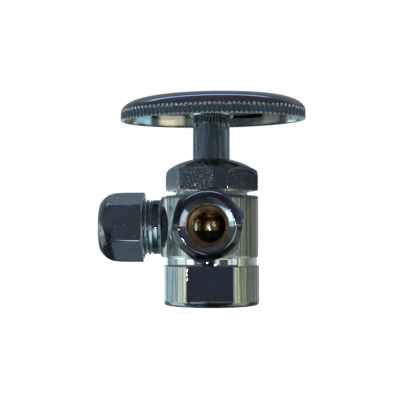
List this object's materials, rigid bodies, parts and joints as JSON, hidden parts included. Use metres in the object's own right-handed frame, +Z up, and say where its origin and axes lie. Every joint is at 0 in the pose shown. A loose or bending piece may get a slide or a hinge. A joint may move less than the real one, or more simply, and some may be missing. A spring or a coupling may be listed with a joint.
{
  "type": "angle stop valve",
  "caption": "Plated brass multi-turn angle stop: female pipe inlet below, two compression outlets at right angles, hex packing nut and an oval knurled handle.",
  "frame": {"origin": "bottom centre of the valve's bounding box, in the plane of the inlet face; the stem axis stands at x 2.24 mm, y 7.24 mm, and the outlet axes cross it at z 19.9 mm", "axes": "+Z up along the stem, towards the handle; -X along the left outlet; -Y along the front outlet"},
  "size_m": [0.0526, 0.0426, 0.0539],
  "materials": {
    "bar_chrome": "plated over drawn bar, with fine lengthwise draw lines",
    "dark_chrome": "bright plated, slightly pitted",
    "raw_brass": "turned, unplated",
    "silver_braze": "filler metal",
    "black_rubber": "matt",
    "packing_graphite": "matt moulded packing",
    "white_nylon": "moulded",
    "plated_steel": "plated screw"
  },
  "bodies": {
    "body_set": {"valve_body": "bar_chrome", "left_outlet_spud": "dark_chrome", "front_outlet_spud": "dark_chrome", "left_braze_ring": "silver_braze", "front_braze_ring": "silver_braze", "packing_support_washer": "raw_brass", "stem_packing": "packing_graphite"},
    "seat_washer_set": {"seat_washer": "black_rubber"},
    "stem_set": {"stem": "dark_chrome", "seat_washer_holder": "raw_brass", "seat_washer_screw": "raw_brass", "handle": "dark_chrome", "handle_screw": "plated_steel"},
    "gland_set": {"packing_gland": "white_nylon"},
    "packing_nut_set": {"packing_nut": "dark_chrome"},
    "left_sleeve_set": {"left_ferrule": "raw_brass"},
    "left_nut_set": {"left_compression_nut": "dark_chrome"},
    "front_sleeve_set": {"front_ferrule": "raw_brass"},
    "front_nut_set": {"front_compression_nut": "dark_chrome"}
  },
  "joints": [
    {"name": "stem_lift", "type": "slide", "parent": "body_set", "child": "seat_washer_set", "axis": [0, 0, 1], "range_m": [-0.0012, 0.0034]},
    {"name": "handle_turn", "type": "hinge", "parent": "seat_washer_set", "child": "stem_set", "pos_m": [0.00224, 0.00724, 0.0199], "axis": [0, 0, 1], "range_deg": [-270, 765]},
    {"name": "gland_lift", "type": "slide", "parent": "body_set", "child": "gland_set", "axis": [0, 0, 1], "range_m": [-0.00026, 0.0051]},
    {"name": "packing_nut_turn", "type": "hinge", "parent": "gland_set", "child": "packing_nut_set", "pos_m": [0.00224, 0.00724, 0.0199], "axis": [0, 0, 1], "range_deg": [-70, 1440]},
    {"name": "left_sleeve_slide", "type": "slide", "parent": "body_set", "child": "left_sleeve_set", "axis": [-1, 0, 0], "range_m": [-0.0007, 0.0053]},
    {"name": "left_nut_turn", "type": "hinge", "parent": "left_sleeve_set", "child": "left_nut_set", "pos_m": [0.00224, 0.00724, 0.0199], "axis": [-1, 0, 0], "range_deg": [-225, 1800]},
    {"name": "front_sleeve_slide", "type": "slide", "parent": "body_set", "child": "front_sleeve_set", "axis": [0, -1, 0], "range_m": [-0.0007, 0.0053]},
    {"name": "front_nut_turn", "type": "hinge", "parent": "front_sleeve_set", "child": "front_nut_set", "pos_m": [0.00224, 0.00724, 0.0199], "axis": [0, -1, 0], "range_deg": [-225, 1800]}
  ],
  "couplings": [
    {"joint": "stem_lift", "follows": "handle_turn", "m_per_rad": 0.00025266},
    {"joint": "gland_lift", "follows": "packing_nut_turn", "m_per_rad": 0.00020213},
    {"joint": "left_sleeve_slide", "follows": "left_nut_turn", "m_per_rad": 0.00016839},
    {"joint": "front_sleeve_slide", "follows": "front_nut_turn", "m_per_rad": 0.00016839}
  ]
}
